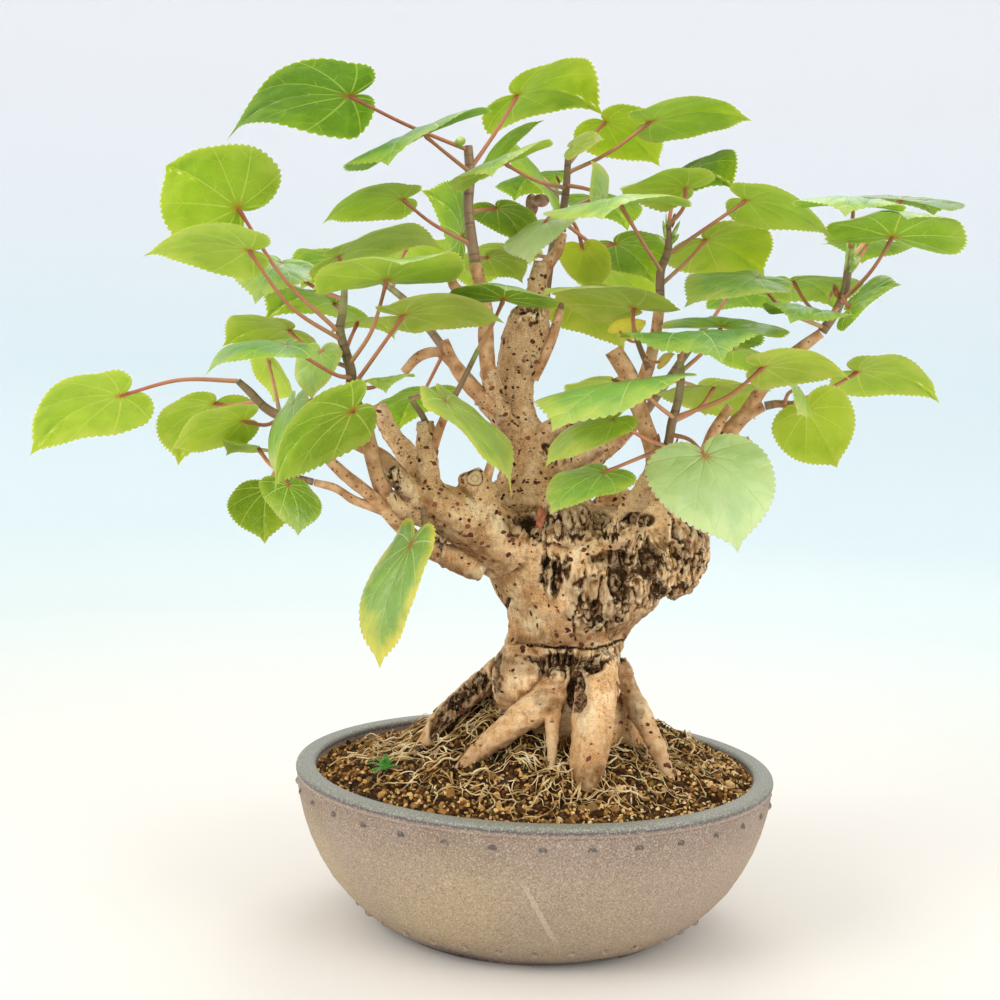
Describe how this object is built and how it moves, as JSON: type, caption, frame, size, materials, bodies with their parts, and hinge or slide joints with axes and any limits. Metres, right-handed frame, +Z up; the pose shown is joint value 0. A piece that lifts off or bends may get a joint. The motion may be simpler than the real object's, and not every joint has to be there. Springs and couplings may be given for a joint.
{
  "type": "sea hibiscus bonsai",
  "caption": "Sea hibiscus bonsai with heart-shaped leaves on a thick gnarled trunk, rooted in a mound of soil in a round glazed ceramic bowl on low feet.",
  "frame": {"origin": "on the plane that the pot's feet stand on, under the middle of the whole plant's box", "axes": "+Z up; +X to the plant's right as seen from its front; +Y from its front to its back"},
  "size_m": [0.49, 0.2802, 0.4597],
  "materials": {
    "glaze": "matte grey-brown speckled glaze with a darker lip",
    "soil": "loose dry granules",
    "bark": "smooth tan bark with warts, rough and dark in places",
    "leaf": "satin living leaf",
    "fern_leaf": "matte living leaf"
  },
  "bodies": {
    "root": {"pot": "glaze", "soil": "soil", "trunk": "bark", "fern_sprig": "fern_leaf", "top_left_leader": "leaf", "top_centre": "leaf", "upper_right": "leaf", "far_right": "leaf", "right_centre": "leaf", "low_right": "leaf", "centre": "leaf", "upper_left": "leaf", "far_left": "leaf", "low_left": "leaf", "stub_shoot": "leaf", "hanging_leaf": "leaf", "centre_shoot": "leaf", "trunk_twig": "leaf", "back_left": "leaf", "back_top": "leaf", "back_right": "leaf"}
  },
  "joints": []
}
